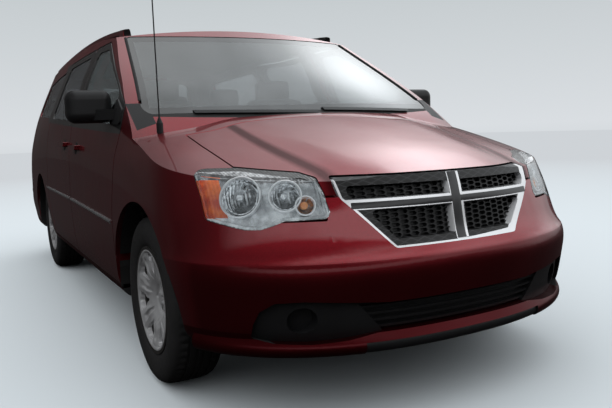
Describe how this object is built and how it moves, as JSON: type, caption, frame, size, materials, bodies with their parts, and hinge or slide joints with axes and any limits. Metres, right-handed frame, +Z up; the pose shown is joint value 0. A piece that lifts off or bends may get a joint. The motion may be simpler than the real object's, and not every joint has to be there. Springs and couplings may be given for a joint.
{
  "type": "minivan",
  "caption": "Full-size passenger minivan with opening bonnet, front doors and tailgate, steered front wheels and a hollow three-row cabin.",
  "frame": {"origin": "on the ground, midway along the length and across the width", "axes": "+X to the vehicle's left, -Y forwards, +Z up"},
  "size_m": [2.246, 5.1515, 1.8874],
  "materials": {
    "body": "metallic gloss",
    "floor": "matt",
    "black_trim": "satin",
    "chrome": "polished",
    "glass_clear": "clear",
    "glass_dark": "tinted",
    "lamp": "clear",
    "lamp_inside": "silver",
    "lamp_red": "gloss",
    "tyre": "matt",
    "wheel": "silver",
    "steel": "matt",
    "engine": "cast",
    "radiator": "matt",
    "interior": "matt",
    "seat": "woven",
    "antenna": "satin"
  },
  "bodies": {
    "vehicle_body": {"antenna": "antenna", "cowl": "black_trim", "dashboard": "interior", "engine": "engine", "exhaust": "steel", "fenders": "body", "firewall": "floor", "floor_pan": "floor", "front_bumper": "body", "front_seats": "seat", "fuel_tank": "steel", "grille_frame": "chrome", "grille_mesh": "black_trim", "headlamps": "lamp", "lamp_housings": "lamp_inside", "lower_grille": "black_trim", "radiator": "radiator", "rear_axle": "steel", "rear_bumper": "body", "rear_seats": "seat", "roof_panel": "body", "side_frame_left": "body", "side_frame_right": "body", "side_glass": "glass_dark", "sliding_doors": "body", "subframe": "steel", "tail_lamps": "lamp_red", "windscreen": "glass_clear", "wipers": "black_trim"},
    "front_door_left": {"front_door_left": "body", "door_glass_left": "glass_clear", "mirror_left": "black_trim"},
    "front_door_right": {"front_door_right": "body", "door_glass_right": "glass_clear", "mirror_right": "black_trim"},
    "bonnet": {"bonnet": "body"},
    "tailgate": {"tailgate": "body", "tailgate_glass": "glass_dark"},
    "knuckle_left": {"knuckle_left": "steel"},
    "knuckle_right": {"knuckle_right": "steel"},
    "wheel_front_left": {"wheel_front_left": "wheel", "tyre_front_left": "tyre"},
    "wheel_front_right": {"wheel_front_right": "wheel", "tyre_front_right": "tyre"},
    "wheel_rear_left": {"wheel_rear_left": "wheel", "tyre_rear_left": "tyre"},
    "wheel_rear_right": {"wheel_rear_right": "wheel", "tyre_rear_right": "tyre"},
    "steering_wheel": {"steering_wheel": "interior"}
  },
  "joints": [
    {"name": "front_door_left_hinge", "type": "hinge", "parent": "vehicle_body", "child": "front_door_left", "pos_m": [0.9885, -1.2107, 0.75], "axis": [0, 0, -1], "range_deg": [0, 65]},
    {"name": "front_door_right_hinge", "type": "hinge", "parent": "vehicle_body", "child": "front_door_right", "pos_m": [-0.9885, -1.2107, 0.75], "axis": [0, 0, 1], "range_deg": [0, 65]},
    {"name": "bonnet_hinge", "type": "hinge", "parent": "vehicle_body", "child": "bonnet", "pos_m": [0, -1.574, 1.131], "axis": [-1, 0, 0], "range_deg": [0, 50]},
    {"name": "tailgate_hinge", "type": "hinge", "parent": "vehicle_body", "child": "tailgate", "pos_m": [0, 2.15416, 1.697], "axis": [1, 0, 0], "range_deg": [0, 85]},
    {"name": "steering_left", "type": "hinge", "parent": "vehicle_body", "child": "knuckle_left", "pos_m": [0.69, -1.6205, 0.362], "axis": [0, 0, 1], "range_deg": [-35, 35]},
    {"name": "steering_right", "type": "hinge", "parent": "vehicle_body", "child": "knuckle_right", "pos_m": [-0.69, -1.6205, 0.362], "axis": [0, 0, 1], "range_deg": [-35, 35]},
    {"name": "steering_wheel_turn", "type": "hinge", "parent": "vehicle_body", "child": "steering_wheel", "pos_m": [0.40526, -0.77405, 1.044], "axis": [0, 0.891, 0.454], "range_deg": [-525, 525]},
    {"name": "wheel_front_left_spin", "type": "hinge", "parent": "knuckle_left", "child": "wheel_front_left", "pos_m": [0.8325, -1.6205, 0.362], "axis": [1, 0, 0], "continuous": true},
    {"name": "wheel_rear_left_spin", "type": "hinge", "parent": "vehicle_body", "child": "wheel_rear_left", "pos_m": [0.8225, 1.4575, 0.362], "axis": [1, 0, 0], "continuous": true},
    {"name": "wheel_front_right_spin", "type": "hinge", "parent": "knuckle_right", "child": "wheel_front_right", "pos_m": [-0.8325, -1.6205, 0.362], "axis": [1, 0, 0], "continuous": true},
    {"name": "wheel_rear_right_spin", "type": "hinge", "parent": "vehicle_body", "child": "wheel_rear_right", "pos_m": [-0.8225, 1.4575, 0.362], "axis": [1, 0, 0], "continuous": true}
  ],
  "couplings": [
    {"joint": "steering_right", "follows": "steering_left", "ratio": 1},
    {"joint": "steering_wheel_turn", "follows": "steering_left", "ratio": 15}
  ]
}
